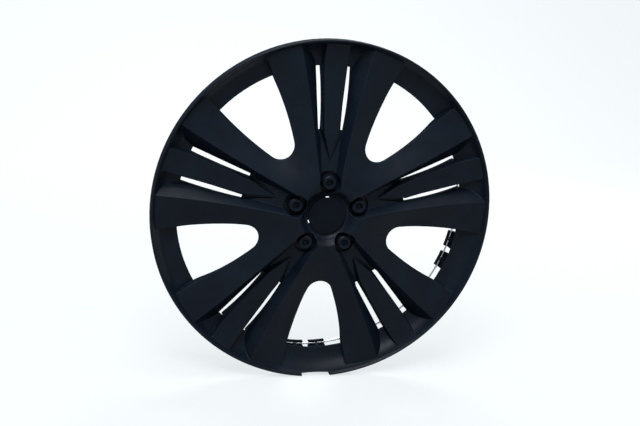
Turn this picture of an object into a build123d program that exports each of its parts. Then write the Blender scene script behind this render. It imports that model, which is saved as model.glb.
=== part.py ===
from build123d import *
import os
from math import cos, radians, sin, tan

# Wheel cover, upright as on a car: the axle is the Y axis, the face looks along -Y and a spoke
# points up (+Z). It is drawn first with the axle along Z and the face towards +Z. Sizes are in mm.
# Heights are measured along the axle from the rim's widest circle, positive towards the front.

# Overall
SPOKE_COUNT = 5
WALL = 2.6                    # wall of the moulding
RIM_RADIUS = 208.0            # widest circle of the rim
RIM_DEPTH = 9.0               # from the widest circle back to the edge that meets the wheel

# Rim lip and dished band
LIP_HEIGHT = 3.5              # crest of the rolled lip
LIP_WIDTH = 4.5               # from the widest circle in to the top of the band
BAND_TOP_HEIGHT = 0.8
BAND_WIDTH = 31.4             # from the widest circle in to the windows' outer edge
BAND_RADIUS = RIM_RADIUS - BAND_WIDTH
BAND_HEIGHT = -17.5           # height of the band's inner edge
BAND_SAG = 4.5                # how far the band is hollowed below its chord

# Five-lobed dome that carries the blades
HUB_HEIGHT = 11.7             # ridge height on the nut circle
RIDGE_HEIGHT_AT_RIM = -0.5
RIDGE_ANGLE = 12.1            # degrees from a spoke's centre line to its ridges
LOBE_HEIGHT = 9.5             # half the fall from a spoke's line to a window's line
LOBE_START = 38.0             # radius where the lobes begin
LOBE_END = 115.0              # radius where they reach full height
LOBE_FADE_WIDTH = 43.0        # width at the rim over which they flatten out again
LOBE_FADE_START = RIM_RADIUS - LOBE_FADE_WIDTH
LOBE_FADE = 0.65              # share of their height lost at the rim

# Hub bowl, centre cap and imitation nuts
CAP_SEAT_RADIUS = 24.0
BOWL_WIDTH = 13.0             # from the cap's seat out to the bowl's edge
BOWL_RADIUS = CAP_SEAT_RADIUS + BOWL_WIDTH
BOWL_FLOOR = 0.5              # height of the bowl at the edge of the cap's seat
CAP_SEAT_HEIGHT = -0.3        # the seat is sunk a little below that
CAP_SEAT_THICKNESS = 2.6
CAP_GAP = 2.0                 # from the cap's edge to the edge of its seat
CAP_RADIUS = CAP_SEAT_RADIUS - CAP_GAP
CAP_THICKNESS = 3.6
CAP_EDGE = 0.8
CAP_LEG_SPREAD = 112.0        # degrees from the top leg to each of the other two, so it goes in one way
CAP_LEG_WIDTH = 4.0
CAP_LEG_THICKNESS = 1.8
CAP_LEG_INSET = 3.0           # from the cap's edge in to the legs' outer faces
CAP_LEG_OUTER = CAP_RADIUS - CAP_LEG_INSET
CAP_BARB = 1.0
CAP_BARB_HEIGHT = 2.5
CAP_CLEARANCE = 0.3
CAP_HOLE_REACH = 1.2          # how far a leg hole shows past the cap's edge
NUT_OFFSET = 16.6             # from the edge of the cap's seat to the nuts' circle
NUT_CIRCLE = CAP_SEAT_RADIUS + NUT_OFFSET
NUT_POCKET_RADIUS = 13.3
NUT_POCKET_FLOOR = -7.0       # deep enough to leave a dark ring round each nut
NUT_RADIUS = 8.5
NUT_HEIGHT = 5.6              # height of the nut's top
NUT_EDGE = 1.2
NUT_SOCKET_RADIUS = 4.6
NUT_SOCKET_DEPTH = 5.0
NUT_PIP_RADIUS = 1.7
NUT_PIP_HEIGHT = 1.8

# Trough between the two blades of a spoke, from the nut circle to the rim
TROUGH_FLOOR_INNER = 7.7      # half-width of its floor at the nut circle
TROUGH_FLOOR_OUTER = 22.5     # and at the rim
TROUGH_HEIGHT_INNER = -1.2
TROUGH_HEIGHT_OUTER = -25.0
TROUGH_MOUTH_INNER = 15.0     # half-width at the mouth height
TROUGH_MOUTH_OUTER = 66.0
TROUGH_MOUTH_HEIGHT = 20.0

# Flat bar in the trough and the two slots beside it
BAR_TIP = 65.8                # distance of the bar's point from the axle
BAR_SHOULDER = 98.0
BAR_SHOULDER_HALF = 8.8
BAR_END_HALF = 15.1           # half-width at the rim
BAR_DRAFT = 13.0              # degrees
BAR_PLAN_HEIGHT = -5.0        # height at which the plan sizes hold
BAR_TIP_HEIGHT = -2.6
BAR_MID = 150.0
BAR_MID_HEIGHT = -7.0
BAR_FLARE_WIDTH = 22.0        # width at the rim over which the bar's top turns up to meet the lip
BAR_FLARE = RIM_RADIUS - BAR_FLARE_WIDTH
BAR_FLARE_HEIGHT = -6.5
BAR_RIM_HEIGHT = 1.6          # height it would reach at the rim's widest circle
SLOT_INNER = 101.0
SLOT_INNER_FROM = 11.5        # half-distances of the slot's two sides from the spoke's line
SLOT_INNER_TO = 16.2
SLOT_OUTER_FROM = 15.2
SLOT_OUTER_TO = 21.9
SLOT_FLANGE_END = 7.0         # how far the slot's long sides turn back at both ends
SLOT_FLANGE_MID = 0.8         # and half-way along
ARM_DROP = 6.0                # depth of the two dark arms beside the bar's point, where they meet the slots
ARM_TIP_HALF = 1.0            # half-width of the arms at the bar's point

# Windows, on lines half-way between the spokes
WINDOW_INNER = 84.0
WINDOW_NECK = 95.0
WINDOW_NECK_HALF = 15.5
WINDOW_MID = 130.0
WINDOW_MID_HALF = 27.0
WINDOW_HALF_ANGLE = 11.9      # degrees, at the outer corners
FLANGE_INNER_HEIGHT = -8.8    # back edge of the turned-back flange at the window's inner end
FLANGE_MID_HEIGHT = -10.5
FLANGE_OUTER_HEIGHT = -23.5

# Spring fingers and wire ring
WIRE_RADIUS = 1.5
WIRE_INSET = 19.6             # from the rim's widest circle in to the wire
WIRE_CIRCLE = RIM_RADIUS - WIRE_INSET
WIRE_HEIGHT = -58.0
WIRE_GAP_ANGLE = 2.0          # degrees between the wire's two ends
FINGER_ANGLE = 6.4            # width of one finger, in degrees
FINGER_GAP_ANGLE = 2.4        # gap between the two fingers of a pair
FINGER_THICKNESS = 3.0
FINGER_BARB = 2.8
FINGER_WEB = 2.4              # hook behind the wire
FINGER_LIP = 1.4              # thickness of the hook's lip inside the wire
FINGER_LIP_HEIGHT = 1.6       # how far the lip rises past the wire's middle
FINGER_BASE = 6.0             # extra thickness where the finger leaves the band
WIRE_CLEARANCE = 0.2
NUB_ANGLE = 1.7               # width of the small catch in front of the wire, in degrees
NUB_REACH = 1.5
NUB_HEIGHT = 4.5

# Valve notch in the rim
VALVE_ANGLE = 270.6           # the notch is a little off the middle
VALVE_WIDTH = 36.0
VALVE_DEPTH = 4.9

# Reach of the cutting tools beyond the part
REACH = 80.0
DOME_OUTER = RIM_RADIUS + 8.0
DOME_INNER = 0.75 * CAP_SEAT_RADIUS
DOME_COLUMNS = 17
SECTOR = 360.0 / SPOKE_COUNT
HALF_SECTOR = SECTOR / 2
DOME_OVERLAP = 4.0            # degrees by which the dome patch passes the sector's sides
DOME_WALL_FACTOR = 1.06       # drop of a sloped skin that leaves one wall thickness
SEAT_LIFT = RIM_DEPTH         # puts the rim's back edge at the origin


def smooth_step(x):
    """Goes smoothly from 0 to 1 as x goes from 0 to 1."""
    x = min(max(x, 0.0), 1.0)
    return x * x * (3 - 2 * x)


def dome_height(radius, angle):
    """Height of the blades' surface at a radius and an angle from the spoke's line."""
    rise = (RIM_RADIUS - radius) / (RIM_RADIUS - NUT_CIRCLE)
    ridge = RIDGE_HEIGHT_AT_RIM + (HUB_HEIGHT - RIDGE_HEIGHT_AT_RIM) * rise * rise
    lobe = LOBE_HEIGHT * smooth_step((radius - LOBE_START) / (LOBE_END - LOBE_START))
    lobe = lobe * (1 - LOBE_FADE * smooth_step((radius - LOBE_FADE_START) / (RIM_RADIUS - LOBE_FADE_START)))
    wave = cos(SPOKE_COUNT * radians(angle)) - cos(SPOKE_COUNT * radians(RIDGE_ANGLE))
    bowl = smooth_step((BOWL_RADIUS - radius) / (BOWL_RADIUS - CAP_SEAT_RADIUS))
    return (ridge + lobe * wave) * (1 - bowl) + BOWL_FLOOR * bowl


def polar(radius, angle, height=0.0):
    """Point at a radius and an angle in degrees."""
    return (radius * cos(radians(angle)), radius * sin(radians(angle)), height)


def trough_height(distance):
    """Height of the trough's floor at a distance from the axle."""
    share = (distance - NUT_CIRCLE) / (RIM_RADIUS - NUT_CIRCLE)
    return TROUGH_HEIGHT_INNER + (TROUGH_HEIGHT_OUTER - TROUGH_HEIGHT_INNER) * share


def dome_radii():
    """Radii at which the dome's surface is given, closer together in the bowl and round its edge."""
    stretches = ((DOME_INNER, CAP_SEAT_RADIUS, 2, 1.0), (CAP_SEAT_RADIUS, BOWL_RADIUS, 6, 1.0),
                 (BOWL_RADIUS, LOBE_END, 7, 1.5), (LOBE_END, LOBE_FADE_START, 2, 1.0),
                 (LOBE_FADE_START, DOME_OUTER, 4, 1.0))
    radii = [DOME_INNER]
    for start, end, steps, growth in stretches:
        for step in range(1, steps + 1):
            radii.append(start + (end - start) * (step / steps) ** growth)
    return radii


def dome(drop):
    """Everything below the blades' surface in one sector, lowered by drop."""
    span = HALF_SECTOR + DOME_OVERLAP
    rows = []
    for radius in dome_radii():
        row = []
        for column in range(DOME_COLUMNS):
            angle = span * (2 * column / (DOME_COLUMNS - 1) - 1)
            row.append(polar(radius, angle, dome_height(radius, angle) - drop))
        rows.append(row)
    surface = Face.make_surface_from_array_of_points(rows)
    return extrude(surface, 2 * REACH, dir=(0, 0, -1))


def wedge():
    """The pie slice that holds one spoke, deep enough for the moulding without its fingers."""
    far = 2 * RIM_RADIUS
    side = far * tan(radians(HALF_SECTOR))
    plan = make_face(Polyline((0, 0), (far, -side), (far, side), close=True))
    return Pos(0, 0, -REACH / 2) * extrude(plan, REACH)


def trough(grow):
    """The sunken channel of one spoke, its walls and floor moved outwards by grow."""
    sections = []
    ends = ((NUT_CIRCLE, TROUGH_FLOOR_INNER, TROUGH_HEIGHT_INNER, TROUGH_MOUTH_INNER),
            (RIM_RADIUS, TROUGH_FLOOR_OUTER, TROUGH_HEIGHT_OUTER, TROUGH_MOUTH_OUTER))
    for distance, floor, height, mouth in ends:
        slope = (mouth - floor) / (TROUGH_MOUTH_HEIGHT - height)
        side = grow * ((1 + slope * slope) ** 0.5 - slope)
        low = (floor + side, height - grow)
        high = (mouth + side + slope * grow, TROUGH_MOUTH_HEIGHT)
        plane = Plane(origin=(distance, 0, 0), x_dir=(0, 1, 0), z_dir=(1, 0, 0))
        outline = Polyline((-low[0], low[1]), low, high, (-high[0], high[1]), close=True)
        sections.append(plane * make_face(outline))
    return loft(sections, ruled=True)


def arms(grow):
    """The sunken arms that lead from the bar's point to the slots, their walls moved outwards by grow."""
    sections = []
    ends = ((BAR_TIP, -grow, ARM_TIP_HALF, 0), (SLOT_INNER, grow, SLOT_INNER_TO, ARM_DROP))
    for distance, shift, half, drop in ends:
        low = trough_height(distance) - drop - grow
        plane = Plane(origin=(distance + shift, 0, 0), x_dir=(0, 1, 0), z_dir=(1, 0, 0))
        side = half + grow
        outline = Polyline((-side, low), (side, low), (side, 0), (-side, 0), close=True)
        sections.append(plane * make_face(outline))
    return loft(sections, ruled=True)


def bar(shrink):
    """The flat bar with its pointed inner end, its skin moved inwards by shrink."""
    plan = make_face(Polyline((BAR_TIP, 0), (BAR_SHOULDER, -BAR_SHOULDER_HALF), (DOME_OUTER, -BAR_END_HALF),
                              (DOME_OUTER, BAR_END_HALF), (BAR_SHOULDER, BAR_SHOULDER_HALF), close=True))
    spread = tan(radians(BAR_DRAFT))
    low = Pos(0, 0, BAR_PLAN_HEIGHT - REACH) * offset_plan(plan, REACH * spread - shrink)
    high = Pos(0, 0, BAR_PLAN_HEIGHT + LIP_HEIGHT) * offset_plan(plan, -LIP_HEIGHT * spread - shrink)
    body = loft([low, high], ruled=True)
    crown = Spline((0, BAR_TIP_HEIGHT), (BAR_TIP, BAR_TIP_HEIGHT), (BAR_MID, BAR_MID_HEIGHT),
                   (BAR_FLARE, BAR_FLARE_HEIGHT), (RIM_RADIUS, BAR_RIM_HEIGHT))
    skirt = Polyline(crown @ 1, (RIM_RADIUS, -2 * REACH), (0, -2 * REACH), crown @ 0)
    side = Plane.XZ * make_face(crown + skirt)
    below = Pos(0, 0, -shrink) * extrude(side, RIM_RADIUS, both=True)
    return body & below


def offset_plan(plan, amount):
    """A plan moved in or out by an amount with its corners kept sharp."""
    if amount == 0:
        return plan
    return offset(plan, amount, kind=Kind.INTERSECTION)


def window_plan(grow):
    """Outline of a window on the +X line, carried on past the rim, moved outwards by grow."""
    corner = polar(BAND_RADIUS, WINDOW_HALF_ANGLE)
    far = polar(DOME_OUTER, WINDOW_HALF_ANGLE)
    neck = (WINDOW_NECK, WINDOW_NECK_HALF)
    inner = ThreePointArc((neck[0], -neck[1]), (WINDOW_INNER, 0), neck)
    upper = ThreePointArc(neck, (WINDOW_MID, WINDOW_MID_HALF), corner[:2])
    lower = mirror(upper, Plane.XZ)
    outer = Polyline(corner[:2], far[:2], (far[0], -far[1]), (corner[0], -corner[1]))
    return offset_plan(make_face(inner + upper + outer + lower), grow)


def windows(grow):
    """The two window tools that border one spoke."""
    tool = extrude(window_plan(grow), REACH, both=True)
    return Rot(0, 0, HALF_SECTOR) * tool + Rot(0, 0, -HALF_SECTOR) * tool


def star(shrink):
    """One spoke and its share of the hub as a solid block, its skin moved inwards by shrink."""
    block = dome(shrink * DOME_WALL_FACTOR) - trough(shrink) - arms(shrink) + bar(shrink)
    return block - windows(shrink) & Cylinder(RIM_RADIUS - LIP_WIDTH / 2 - shrink, 6 * REACH)


def band_arc(drop):
    """Profile of the dished band, lowered by drop."""
    start = (BAND_RADIUS, BAND_HEIGHT - drop)
    end = (RIM_RADIUS - LIP_WIDTH, BAND_TOP_HEIGHT - drop)
    middle = ((start[0] + end[0]) / 2 + BAND_SAG / 2, (start[1] + end[1]) / 2 - BAND_SAG)
    return ThreePointArc(start, middle, end)


def turned(profile, angle):
    """A profile in the XZ plane turned through an angle centred on the +X line."""
    return Rot(0, 0, -angle / 2) * revolve(Plane.XZ * make_face(profile), Axis.Z, angle)


def sector_of(profile):
    """A profile in the XZ plane turned through one sector and a little more."""
    return turned(profile, SECTOR + 2 * DOME_OVERLAP)


def ring():
    """The rim's block for one sector: all that lies under the rolled lip and the dished band."""
    band = band_arc(0)
    crest = (RIM_RADIUS - LIP_WIDTH / 2, LIP_HEIGHT)
    lip = Spline(band @ 1, crest, (RIM_RADIUS, 0), tangents=[(1, 1.4), (0, -1)])
    walls = Polyline((RIM_RADIUS, 0), (RIM_RADIUS, -REACH), (BAND_RADIUS, -REACH), band @ 0)
    return sector_of(band + lip + walls)


def ring_hollow():
    """The room behind the lip and the band in one sector."""
    band = band_arc(WALL * DOME_WALL_FACTOR)
    inner = BAND_RADIUS - WALL
    outer = RIM_RADIUS - WALL
    walls = Polyline(band @ 1, (outer, -WALL), (outer, -REACH), (inner, -REACH), (inner, (band @ 0).Y),
                     band @ 0)
    return sector_of(band + walls)


def below_flanges():
    """What lies behind the flanges round the two windows that border a spoke."""
    edge = Spline((0, FLANGE_INNER_HEIGHT), (WINDOW_INNER, FLANGE_INNER_HEIGHT),
                  (WINDOW_MID, FLANGE_MID_HEIGHT), (BAND_RADIUS, FLANGE_OUTER_HEIGHT))
    rest = Polyline(edge @ 1, (BAND_RADIUS, -REACH), (0, -REACH), edge @ 0)
    behind = revolve(Plane.XZ * make_face(edge + rest), Axis.Z)
    return windows(WALL + WIRE_CLEARANCE) & behind


def below_spoke():
    """What lies behind the trough's floor, but for the nut's cup, the arms and the slots' sides."""
    back = [(distance, trough_height(distance) - WALL) for distance in (0, BAND_RADIUS)]
    outline = Polyline(*back, (BAND_RADIUS, -3 * REACH), (0, -3 * REACH), close=True)
    behind = extrude(Plane.XZ * make_face(outline), RIM_RADIUS, both=True)
    return behind - nut_pocket(WALL) - arms(WALL) - slot_sides()


def below_rim():
    """What lies behind the rim's back edge."""
    step = (BAND_RADIUS, BAND_HEIGHT - 2 * WALL)
    edge = (RIM_RADIUS - 2 * WALL, -RIM_DEPTH)
    outline = Polyline((BAND_RADIUS, -REACH), step, edge, (RIM_RADIUS + WALL, -RIM_DEPTH),
                       (RIM_RADIUS + WALL, -REACH), close=True)
    return revolve(Plane.XZ * make_face(outline), Axis.Z)


def slot_sides():
    """Block that leaves the turned-back long sides of the two slots, with an arched back edge."""
    plan = make_face(Polyline((SLOT_INNER, SLOT_INNER_FROM - WALL), (BAND_RADIUS, SLOT_OUTER_FROM - WALL),
                              (BAND_RADIUS, SLOT_OUTER_TO + WALL), (SLOT_INNER, SLOT_INNER_TO + WALL),
                              close=True))
    middle = (SLOT_INNER + BAND_RADIUS) / 2
    depths = ((SLOT_INNER, SLOT_FLANGE_END), (middle, SLOT_FLANGE_MID), (BAND_RADIUS, SLOT_FLANGE_END))
    back = Spline(*[(distance, trough_height(distance) - WALL - depth) for distance, depth in depths])
    rest = Polyline(back @ 1, (BAND_RADIUS, REACH), (SLOT_INNER, REACH), back @ 0)
    above = extrude(Plane.XZ * make_face(back + rest), RIM_RADIUS, both=True)
    one = extrude(plan, REACH, both=True) & above
    return one + mirror(one, Plane.XZ)


def slots():
    """The two slots beside the bar."""
    plan = make_face(Polyline((SLOT_INNER, SLOT_INNER_FROM), (BAND_RADIUS, SLOT_OUTER_FROM),
                              (BAND_RADIUS, SLOT_OUTER_TO), (SLOT_INNER, SLOT_INNER_TO), close=True))
    one = extrude(plan, REACH, both=True)
    both = one + mirror(one, Plane.XZ)
    return both & Cylinder(BAND_RADIUS, 2 * REACH)


def nut_pocket(grow):
    """Cylinder of a nut pocket, open to the front, its wall and floor moved outwards by grow."""
    floor = NUT_POCKET_FLOOR - grow
    low_centre = (Align.CENTER, Align.CENTER, Align.MIN)
    return Pos(NUT_CIRCLE, 0, floor) * Cylinder(NUT_POCKET_RADIUS + grow, REACH, align=low_centre)


def nut():
    """Imitation nut with a blind socket and a pip in it."""
    low_centre = (Align.CENTER, Align.CENTER, Align.MIN)
    height = NUT_HEIGHT - NUT_POCKET_FLOOR
    body = Cylinder(NUT_RADIUS, height, align=low_centre)
    body = chamfer(body.edges().group_by(Axis.Z)[-1], NUT_EDGE)
    body -= Pos(0, 0, height - NUT_SOCKET_DEPTH) * Cylinder(NUT_SOCKET_RADIUS, REACH, align=low_centre)
    body += Pos(0, 0, height - NUT_SOCKET_DEPTH) * Cylinder(NUT_PIP_RADIUS, NUT_PIP_HEIGHT, align=low_centre)
    return Pos(NUT_CIRCLE, 0, NUT_POCKET_FLOOR) * body


def finger():
    """Spring finger with its barb and wire hook, centred on the +X line, up into the band's wall."""
    leg_in = WIRE_CIRCLE + WIRE_RADIUS + WIRE_CLEARANCE
    leg_out = leg_in + FINGER_THICKNESS
    hook_out = WIRE_CIRCLE - WIRE_RADIUS - WIRE_CLEARANCE
    hook_in = hook_out - FINGER_LIP
    web_top = WIRE_HEIGHT - WIRE_RADIUS - WIRE_CLEARANCE
    tip = web_top - FINGER_WEB
    lip_top = WIRE_HEIGHT + FINGER_LIP_HEIGHT
    barb_start = WIRE_HEIGHT + 2 * FINGER_BARB
    outline = Polyline((leg_in, LIP_HEIGHT), (leg_out + FINGER_BASE, LIP_HEIGHT),
                       (leg_out + FINGER_BASE, BAND_HEIGHT), (leg_out, BAND_HEIGHT - 2 * FINGER_BASE),
                       (leg_out, barb_start), (leg_out + FINGER_BARB, WIRE_HEIGHT), (leg_out, tip),
                       (hook_in, tip), (hook_in, lip_top), (hook_out, lip_top),
                       (hook_out, web_top), (leg_in, web_top), close=True)
    nub_low = WIRE_HEIGHT + WIRE_RADIUS + WIRE_CLEARANCE
    nub_high = nub_low + NUB_HEIGHT
    nub_root = leg_in + FINGER_THICKNESS / 2
    nub = Polyline((nub_root, nub_low), (leg_in - NUB_REACH, nub_low), (leg_in, nub_high),
                   (nub_root, nub_high), close=True)
    leg = turned(outline, FINGER_ANGLE) + turned(nub, NUB_ANGLE)
    return leg & Pos(0, 0, WALL / 2) * ring_hollow()


def cover_sector():
    """One fifth of the cover, with its spoke on the +X line."""
    outside = (star(0) + ring()) & wedge()
    inside = star(WALL) - nut_pocket(WALL) - slot_sides()
    shell = outside - inside - ring_hollow() - below_spoke() - below_rim() - below_flanges()
    shell = shell - slots() - nut_pocket(0) + nut()
    angle = HALF_SECTOR - (FINGER_GAP_ANGLE + FINGER_ANGLE) / 2
    return shell + Rot(0, 0, angle) * finger() + Rot(0, 0, -angle) * finger()


def cap_hole():
    """Hole for one leg of the centre cap, on the +X line."""
    inner = CAP_LEG_OUTER - CAP_LEG_THICKNESS - CAP_CLEARANCE
    outer = CAP_RADIUS + CAP_HOLE_REACH
    return Pos((inner + outer) / 2, 0, 0) * Box(outer - inner, CAP_LEG_WIDTH + 2 * CAP_CLEARANCE, 2 * REACH)


def leg_angles():
    """Angles of the centre cap's legs."""
    return [90 - CAP_LEG_SPREAD, 90, 90 + CAP_LEG_SPREAD]


def wheel_cover():
    """The whole moulding."""
    sector = cover_sector()
    body = Rot(0, 0, 90) * sector
    for index in range(1, SPOKE_COUNT):
        body += Rot(0, 0, 90 + SECTOR * index) * sector
    body -= Cylinder(CAP_SEAT_RADIUS, 4 * REACH)
    seat = Cylinder(CAP_SEAT_RADIUS + WALL, CAP_SEAT_THICKNESS, align=(Align.CENTER, Align.CENTER, Align.MAX))
    body += Pos(0, 0, CAP_SEAT_HEIGHT) * seat
    for angle in leg_angles():
        body -= Rot(0, 0, angle) * cap_hole()
    notch = Pos(RIM_RADIUS, 0, 0) * Box(2 * VALVE_DEPTH, VALVE_WIDTH, 2 * REACH)
    return body - Rot(0, 0, VALVE_ANGLE) * notch


def retaining_ring():
    """Spring-steel wire, open at the top behind a spoke."""
    section = Plane.XZ * Pos(WIRE_CIRCLE, WIRE_HEIGHT) * Circle(WIRE_RADIUS)
    return Rot(0, 0, 90 + WIRE_GAP_ANGLE / 2) * revolve(section, Axis.Z, 360 - WIRE_GAP_ANGLE)


def centre_cap():
    """Plain disc with three snap legs."""
    disc = Cylinder(CAP_RADIUS, CAP_THICKNESS, align=(Align.CENTER, Align.CENTER, Align.MIN))
    disc = fillet(disc.edges().group_by(Axis.Z)[-1], CAP_EDGE)
    inner = CAP_LEG_OUTER - CAP_LEG_THICKNESS
    barb_top = -CAP_SEAT_THICKNESS - CAP_CLEARANCE
    leg_top = CAP_THICKNESS / 2
    leg_end = barb_top - CAP_BARB_HEIGHT
    outline = Polyline((inner, leg_top), (CAP_LEG_OUTER, leg_top), (CAP_LEG_OUTER, barb_top),
                       (CAP_LEG_OUTER + CAP_BARB, barb_top), (CAP_LEG_OUTER, leg_end), (inner, leg_end),
                       close=True)
    leg = extrude(Plane.XZ * make_face(outline), CAP_LEG_WIDTH / 2, both=True)
    for angle in leg_angles():
        disc += Rot(0, 0, angle) * leg
    return Pos(0, 0, CAP_SEAT_HEIGHT) * disc


def main():
    os.makedirs("parts", exist_ok=True)
    upright = Rot(90, 0, 0) * Pos(0, 0, SEAT_LIFT)
    pieces = {"wheel_cover": wheel_cover(), "retaining_ring": retaining_ring(), "centre_cap": centre_cap()}
    for name, piece in pieces.items():
        export_step(upright * piece, f"parts/{name}.step")


main()
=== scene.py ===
import bmesh
import bpy
import math
from mathutils import Matrix, Vector


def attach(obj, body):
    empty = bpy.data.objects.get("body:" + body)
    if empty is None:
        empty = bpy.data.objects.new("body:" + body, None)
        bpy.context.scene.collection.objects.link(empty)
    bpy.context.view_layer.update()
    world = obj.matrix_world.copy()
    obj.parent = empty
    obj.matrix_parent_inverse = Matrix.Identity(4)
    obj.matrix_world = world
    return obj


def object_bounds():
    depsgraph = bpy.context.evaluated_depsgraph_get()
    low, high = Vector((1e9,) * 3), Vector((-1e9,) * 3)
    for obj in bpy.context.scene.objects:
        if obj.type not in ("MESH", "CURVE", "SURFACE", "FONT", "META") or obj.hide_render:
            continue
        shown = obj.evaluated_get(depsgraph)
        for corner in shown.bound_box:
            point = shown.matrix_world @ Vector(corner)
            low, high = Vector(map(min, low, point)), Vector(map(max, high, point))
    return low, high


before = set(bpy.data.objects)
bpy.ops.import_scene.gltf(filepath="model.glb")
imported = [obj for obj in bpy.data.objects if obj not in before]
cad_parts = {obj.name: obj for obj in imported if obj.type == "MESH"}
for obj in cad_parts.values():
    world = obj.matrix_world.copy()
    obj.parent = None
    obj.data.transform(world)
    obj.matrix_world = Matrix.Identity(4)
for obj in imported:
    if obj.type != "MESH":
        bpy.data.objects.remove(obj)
cad_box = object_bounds()

# Sizes in metres. The axle is the Y axis, the face looks along -Y and a spoke points up.
SPOKE_COUNT = 5
SPOKE_STEP = 360.0 / SPOKE_COUNT
FIRST_SPOKE = 90.0            # degrees
SEAT_TO_RIM = 0.009           # from the frame's origin forward to the middle of the lip's plane
HANDS = (-1.0, 1.0)           # the two sides of a line

# Slot sides: distance from the spoke's line at the slot's inner end and at the band,
# and where the side's own plastic lies, towards that line (-1) or away from it (1)
SLOT_INNER = 0.101
BAND_RADIUS = 0.1766
BAR_SIDE = (0.0115, 0.0152, -1.0)
BLADE_SIDE = (0.0162, 0.0219, 1.0)

# Webs that close the slot sides: depths are along the axle, behind the frame's origin
WEB_FRONT = 0.0105
WEB_START = (BAND_RADIUS - 0.0045, 0.0190)    # distance from the axle, depth of the rear edge
WEB_END = (BAND_RADIUS - 0.0004, 0.0204)
WEB_WIDTH = 0.0025
WEB_INSET = 0.00003

# Catches in front of the wire: the outline gives distance from the axle and depth
FINGER_OFFSET = 4.4           # degrees from a window's line to the middle of a finger
CATCH_HALF_ANGLE = 0.75       # degrees
CATCH_ROOT = 0.1906
CATCH_REAR = 0.0472
CATCH_OUTLINE = ((CATCH_ROOT, 0.0428), (0.1886, 0.0443), (0.1874, 0.0460), (0.1872, CATCH_REAR),
                 (CATCH_ROOT, CATCH_REAR))

# Ranges of noise that are stretched to a full change of tone or polish
CLOUD_RANGE = (0.35, 0.68)
PATCH_RANGE = (0.3, 0.72)
POLISH_RANGE = (0.3, 0.7)

# Moulded plastic
# Edges are painted paler than the face, partly as wear and partly as a painted highlight along the ridges
EDGE_ROUNDING = 0.0011
EDGE_SAMPLES = 6
EDGE_PALER = 2.6              # times the light tone
EDGE_BEND = (0.99, 0.86)      # agreement of the rounded and the flat normal, from a plain edge to a fully paler edge (wear and painted highlight)
EDGE_WEAR_AND_HIGHLIGHT = 0.55
FACE_TO_WALL = (0.45, 0.20)   # how squarely a surface looks along the axle
WALL_ROUGHNESS = 0.88
WALL_GLOSS = 0.04
GRAIN_DEPTH = 0.00006

# Drawn wire
WIRE_DULL = (0.58, 0.59, 0.61)
WIRE_BRIGHT = (0.76, 0.77, 0.79)
WIRE_ROUGHNESS = (0.34, 0.50)
MARK_DEPTH = 0.00005

# Studio: a floor that bends up into a backdrop, a pale room and lamps of one tint
FLOOR_FRONT = -6.0
BEND_START = 1.3
BEND_RADIUS = 0.5
BEND_STEPS = 16
BACKDROP_TOP = 4.0
BACKDROP_HALF_WIDTH = 5.0
PAPER = (0.20, 0.205, 0.21)
PAPER_ROUGHNESS = 0.9
PAPER_GLOSS = 0.1
PALE = (0.93, 0.98, 1.0)
GLOW_DISTANCE = (0.35, 1.4)   # from the part outwards
GLOW_STRENGTH = (0.72, 0.86)
ROOM_STRENGTH = (0.15, 0.96)  # as light on the part, and as it is seen
LAMP_TINT = (0.98, 0.99, 1.0)
LAMP_AIM = Vector((0.0, 0.0, 0.0))

# Camera, measured from the photograph: degrees, metres, pixels, and millimetres for the sensor
CAMERA_DISTANCE = 1.094533
CAMERA_AIM = Vector((-0.0074, 0.0027))
CAMERA_AZIMUTH = -13.82
CAMERA_ELEVATION = 14.19
CAMERA_ROLL = 4.39
FOCAL_PIXELS = 914.54
IMAGE_WIDTH = 640
SENSOR_WIDTH = 36.0
CLIP_END = 50.0

UNIT = (0.0, 1.0)
# Places of a Mix node's first, second and result sockets, for numbers and for colours
MIX_PLACES = {"FLOAT": (2, 3, 0), "RGBA": (6, 7, 2)}


def opaque(colour):
    """A colour with full alpha."""
    return (*colour, 1.0)


def principled(name):
    """A new material, its node tree and its main shader."""
    material = bpy.data.materials.new(name)
    material.use_nodes = True
    tree = material.node_tree
    return material, tree, tree.nodes["Principled BSDF"]


def coordinate(tree, kind):
    """The object's own coordinates (Object) or the direction that its surface looks in (Normal)."""
    return tree.nodes.new("ShaderNodeTexCoord").outputs[kind]


def noise(tree, scale, detail, roughness=0.5):
    """Noise in the object's own coordinates; scale is features per metre."""
    texture = tree.nodes.new("ShaderNodeTexNoise")
    texture.inputs["Scale"].default_value = scale
    texture.inputs["Detail"].default_value = detail
    texture.inputs["Roughness"].default_value = roughness
    tree.links.new(coordinate(tree, "Object"), texture.inputs["Vector"])
    return texture.outputs["Fac"]


def spread(tree, value, source, target):
    """Maps a value from one range to another."""
    node = tree.nodes.new("ShaderNodeMapRange")
    node.inputs["From Min"].default_value, node.inputs["From Max"].default_value = source
    node.inputs["To Min"].default_value, node.inputs["To Max"].default_value = target
    tree.links.new(value, node.inputs["Value"])
    return node.outputs["Result"]


def mix(tree, kind, factor, first, second):
    """Mixes two numbers (FLOAT) or two colours (RGBA); each is a socket or a plain value."""
    node = tree.nodes.new("ShaderNodeMix")
    node.data_type = kind
    first_place, second_place, result_place = MIX_PLACES[kind]
    tree.links.new(factor, node.inputs[0])
    for value, place in ((first, first_place), (second, second_place)):
        if isinstance(value, bpy.types.NodeSocket):
            tree.links.new(value, node.inputs[place])
        else:
            node.inputs[place].default_value = value
    return node.outputs[result_place]


def reckon(tree, node_type, operation, *values):
    """One step of arithmetic on numbers or on vectors, with a number as its result."""
    node = tree.nodes.new(node_type)
    node.operation = operation
    for value, socket in zip(values, node.inputs):
        tree.links.new(value, socket)
    return node.outputs["Value"]


def relief(tree, height, strength, depth):
    """A bump node that follows a height."""
    node = tree.nodes.new("ShaderNodeBump")
    node.inputs["Strength"].default_value = strength
    node.inputs["Distance"].default_value = depth
    tree.links.new(height, node.inputs["Height"])
    return node


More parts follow.
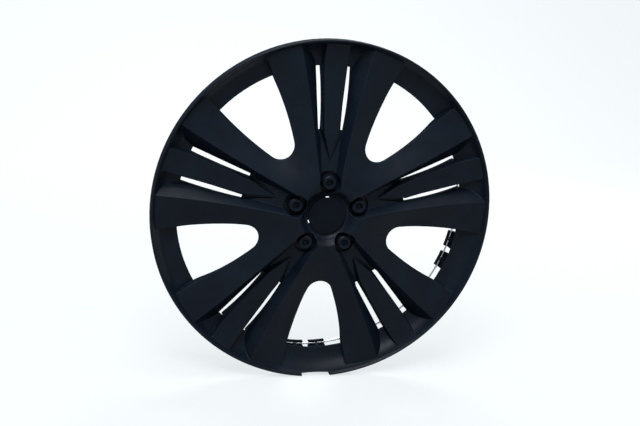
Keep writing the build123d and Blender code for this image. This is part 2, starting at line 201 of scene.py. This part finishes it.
def satin_plastic(name, dark, light, roughness, gloss):
    """Moulded black plastic: a fine grain, cloudy tone, handled patches and softly rounded edges painted
    paler, partly as wear and partly as a painted highlight.
    """
    material, tree, shader = principled(name)
    clouds = noise(tree, scale=34.0, detail=4.0, roughness=0.6)
    tone = spread(tree, clouds, CLOUD_RANGE, UNIT)
    colour = mix(tree, "RGBA", tone, opaque(dark), opaque(light))

    # Edges painted a little paler where the rounded normal leaves the flat one: partly wear, partly a
    # painted highlight along the ridges
    round_edge = tree.nodes.new("ShaderNodeBevel")
    round_edge.samples = EDGE_SAMPLES
    round_edge.inputs["Radius"].default_value = EDGE_ROUNDING
    rounded = round_edge.outputs["Normal"]
    flat = tree.nodes.new("ShaderNodeNewGeometry").outputs["Normal"]
    agree = reckon(tree, "ShaderNodeVectorMath", "DOT_PRODUCT", rounded, flat)
    worn_and_lit_edge = spread(tree, agree, EDGE_BEND, (0.0, EDGE_WEAR_AND_HIGHLIGHT))
    paler = opaque(EDGE_PALER * part for part in light)
    tree.links.new(mix(tree, "RGBA", worn_and_lit_edge, colour, paler), shader.inputs["Base Color"])

    # Walls along the axle keep the dull finish of the tool's deep ribs
    axes = tree.nodes.new("ShaderNodeSeparateXYZ")
    tree.links.new(coordinate(tree, "Normal"), axes.inputs[0])
    facing = reckon(tree, "ShaderNodeMath", "ABSOLUTE", axes.outputs["Y"])
    wall = spread(tree, facing, FACE_TO_WALL, UNIT)
    handled = noise(tree, scale=95.0, detail=6.0, roughness=0.65)
    satin = spread(tree, handled, POLISH_RANGE, roughness)
    tree.links.new(mix(tree, "FLOAT", wall, satin, WALL_ROUGHNESS), shader.inputs["Roughness"])
    tree.links.new(spread(tree, wall, UNIT, (gloss, WALL_GLOSS)), shader.inputs["Specular IOR Level"])

    grain = relief(tree, noise(tree, scale=1500.0, detail=2.0), strength=0.10, depth=GRAIN_DEPTH)
    tree.links.new(rounded, grain.inputs["Normal"])
    tree.links.new(grain.outputs["Normal"], shader.inputs["Normal"])
    return material


def drawn_wire(name):
    """Bright spring-steel wire with faint drawing marks and dull patches."""
    material, tree, shader = principled(name)
    shader.inputs["Metallic"].default_value = 1.0
    patches = noise(tree, scale=140.0, detail=5.0, roughness=0.6)
    tone = spread(tree, patches, PATCH_RANGE, UNIT)
    colour = mix(tree, "RGBA", tone, opaque(WIRE_DULL), opaque(WIRE_BRIGHT))
    tree.links.new(colour, shader.inputs["Base Color"])
    polish = spread(tree, noise(tree, scale=900.0, detail=3.0), POLISH_RANGE, WIRE_ROUGHNESS)
    tree.links.new(polish, shader.inputs["Roughness"])
    marks = relief(tree, noise(tree, scale=2600.0, detail=1.0), strength=0.15, depth=MARK_DEPTH)
    tree.links.new(marks.outputs["Normal"], shader.inputs["Normal"])
    return material


def dress(node, material):
    """Puts a material on a CAD node."""
    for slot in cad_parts[node].material_slots:
        slot.material = material


cover = satin_plastic("cover_satin", dark=(0.0030, 0.0056, 0.0108), light=(0.0048, 0.0086, 0.0156),
                      roughness=(0.32, 0.42), gloss=0.095)
cap = satin_plastic("cap_satin", dark=(0.0022, 0.0038, 0.0070), light=(0.0032, 0.0054, 0.0094),
                    roughness=(0.46, 0.58), gloss=0.065)
dress("wheel_cover", cover)
dress("centre_cap", cap)
dress("retaining_ring", drawn_wire("ring_wire"))


def mesh_object(name, points, faces, smooth):
    """A mesh made from points and faces."""
    mesh = bpy.data.meshes.new(name)
    mesh.from_pydata(points, [], faces)
    for face in mesh.polygons:
        face.use_smooth = smooth
    thing = bpy.data.objects.new(name, mesh)
    bpy.context.scene.collection.objects.link(thing)
    return thing


def add_prism(points, faces, first, second):
    """Adds a closed body between two end outlines that have the same number of points."""
    start = len(points)
    count = len(first)
    points.extend(first)
    points.extend(second)
    faces.append(tuple(range(start, start + count)))
    faces.append(tuple(range(start + count, start + 2 * count)))
    for i in range(start, start + count):
        after = start + (i - start + 1) % count
        faces.append((i, after, after + count, i + count))


def web_end(angle, hand, side, station):
    """The four corners of a web at one distance from the axle."""
    inner, outer, lies = side
    distance, rear = station
    out = Vector((math.cos(angle), 0.0, math.sin(angle)))
    across = Vector((-math.sin(angle), 0.0, math.cos(angle)))
    reach = inner + (outer - inner) * (distance - SLOT_INNER) / (BAND_RADIUS - SLOT_INNER)
    near = reach + lies * WEB_INSET
    far = reach + lies * WEB_WIDTH
    return [distance * out + hand * offset * across + Vector((0.0, depth, 0.0))
            for offset, depth in ((near, WEB_FRONT), (far, WEB_FRONT), (far, rear), (near, rear))]


def slot_webs():
    """Small webs that carry the turned-back slot sides on to the rim band, one each side of each slot."""
    points = []
    faces = []
    for spoke in range(SPOKE_COUNT):
        angle = math.radians(FIRST_SPOKE + SPOKE_STEP * spoke)
        for hand in HANDS:
            for side in (BAR_SIDE, BLADE_SIDE):
                first = web_end(angle, hand, side, WEB_START)
                second = web_end(angle, hand, side, WEB_END)
                add_prism(points, faces, first, second)
    return points, faces


def catch_end(degrees):
    """A catch's outline in the plane through the axle at an angle."""
    angle = math.radians(degrees)
    return [Vector((reach * math.cos(angle), depth, reach * math.sin(angle)))
            for reach, depth in CATCH_OUTLINE]


def wire_catches():
    """Small catches that reach from each finger over the front of the wire and hold it in its hook."""
    points = []
    faces = []
    for window in range(SPOKE_COUNT):
        for hand in HANDS:
            middle = FIRST_SPOKE + SPOKE_STEP * (window + 0.5) + hand * FINGER_OFFSET
            first = catch_end(middle - CATCH_HALF_ANGLE)
            second = catch_end(middle + CATCH_HALF_ANGLE)
            add_prism(points, faces, first, second)
    return points, faces


def moulded(name, points, faces):
    """A small moulded detail of the cover, with its faces turned outwards."""
    thing = mesh_object(name, points, faces, smooth=False)
    mesh = bmesh.new()
    mesh.from_mesh(thing.data)
    bmesh.ops.recalc_face_normals(mesh, faces=mesh.faces)
    mesh.to_mesh(thing.data)
    mesh.free()
    thing.data.materials.append(cover)
    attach(thing, "root")


moulded("slot_webs", *slot_webs())
moulded("wire_catches", *wire_catches())


def studio_sweep():
    """Floor under the part's lowest point that bends up into a backdrop."""
    floor = cad_box[0][2]
    line = [(FLOOR_FRONT, floor), (0.0, floor)]
    for step in range(BEND_STEPS + 1):
        angle = math.radians(90.0 * step / BEND_STEPS)
        line.append((BEND_START + BEND_RADIUS * math.sin(angle),
                     floor + BEND_RADIUS * (1.0 - math.cos(angle))))
    line.append((BEND_START + BEND_RADIUS, BACKDROP_TOP))
    points = []
    for hand in HANDS:
        points.extend((hand * BACKDROP_HALF_WIDTH, y, z) for y, z in line)
    count = len(line)
    faces = [(i, i + 1, count + i + 1, count + i) for i in range(count - 1)]
    return mesh_object("studio_sweep", points, faces, smooth=True)


def seen_directly(tree):
    """1 for what the camera sees, itself or in shiny and clear surfaces, and 0 for light on the part."""
    path = tree.nodes.new("ShaderNodeLightPath")
    value = path.outputs["Is Camera Ray"]
    for kind in ("Is Glossy Ray", "Is Transmission Ray"):
        value = reckon(tree, "ShaderNodeMath", "MAXIMUM", value, path.outputs[kind])
    return value


def sweep_material():
    """Grey paper that takes the part's shadow, with a glow that makes it look white."""
    material, tree, shader = principled("studio_paper")
    shader.inputs["Base Color"].default_value = opaque(PAPER)
    shader.inputs["Roughness"].default_value = PAPER_ROUGHNESS
    shader.inputs["Specular IOR Level"].default_value = PAPER_GLOSS
    away = reckon(tree, "ShaderNodeVectorMath", "LENGTH", coordinate(tree, "Object"))
    level = spread(tree, away, GLOW_DISTANCE, GLOW_STRENGTH)
    glow = tree.nodes.new("ShaderNodeEmission")
    glow.inputs["Color"].default_value = opaque(PALE)
    lit = reckon(tree, "ShaderNodeMath", "MULTIPLY", seen_directly(tree), level)
    tree.links.new(lit, glow.inputs["Strength"])
    both = tree.nodes.new("ShaderNodeAddShader")
    tree.links.new(shader.outputs[0], both.inputs[0])
    tree.links.new(glow.outputs[0], both.inputs[1])
    tree.links.new(both.outputs[0], tree.nodes["Material Output"].inputs["Surface"])
    return material


sweep = studio_sweep()
sweep.data.materials.append(sweep_material())


def soft_box(name, place, width, height, watts):
    """A rectangular studio lamp that looks at the part."""
    lamp = bpy.data.lights.new(name, "AREA")
    lamp.shape = "RECTANGLE"
    lamp.size = width
    lamp.size_y = height
    lamp.energy = watts
    lamp.color = LAMP_TINT
    thing = bpy.data.objects.new(name, lamp)
    thing.location = place
    thing.rotation_euler = (LAMP_AIM - Vector(place)).to_track_quat("-Z", "Y").to_euler()
    bpy.context.scene.collection.objects.link(thing)


soft_box("key_box", place=(-0.40, -1.02, 1.42), width=0.9, height=0.8, watts=30.0)
soft_box("back_box", place=(0.45, 1.15, 1.35), width=0.9, height=0.7, watts=22.0)
soft_box("top_box", place=(0.0, -0.25, 1.78), width=0.9, height=0.7, watts=14.0)


def pale_room():
    """World that looks white and gives the part a little light from all sides."""
    world = bpy.data.worlds.new("room")
    world.use_nodes = True
    tree = world.node_tree
    background = tree.nodes["Background"]
    background.inputs["Color"].default_value = opaque(PALE)
    strength = spread(tree, seen_directly(tree), UNIT, ROOM_STRENGTH)
    tree.links.new(strength, background.inputs["Strength"])
    bpy.context.scene.world = world


def photo_camera():
    """Camera at the photograph's viewing angle."""
    azimuth = math.radians(CAMERA_AZIMUTH)
    elevation = math.radians(CAMERA_ELEVATION)
    back = Vector((math.sin(azimuth) * math.cos(elevation),
                   -math.cos(azimuth) * math.cos(elevation),
                   math.sin(elevation)))
    level = Vector((math.cos(azimuth), math.sin(azimuth), 0.0))
    turn = Matrix.Rotation(math.radians(CAMERA_ROLL), 3, back)
    right = turn @ level
    up = turn @ back.cross(level)
    centre = Vector((0.0, -SEAT_TO_RIM, 0.0))
    place = centre + CAMERA_DISTANCE * back + CAMERA_AIM.x * right + CAMERA_AIM.y * up
    data = bpy.data.cameras.new("photo_camera")
    data.sensor_fit = "HORIZONTAL"
    data.sensor_width = SENSOR_WIDTH
    data.lens = FOCAL_PIXELS / IMAGE_WIDTH * SENSOR_WIDTH
    data.clip_end = CLIP_END
    thing = bpy.data.objects.new("photo_camera", data)
    axes = Matrix((right, up, back)).transposed()
    thing.matrix_world = Matrix.Translation(place) @ axes.to_4x4()
    bpy.context.scene.collection.objects.link(thing)
    bpy.context.scene.camera = thing


pale_room()
photo_camera()
bpy.context.scene.view_settings.view_transform = "Standard"
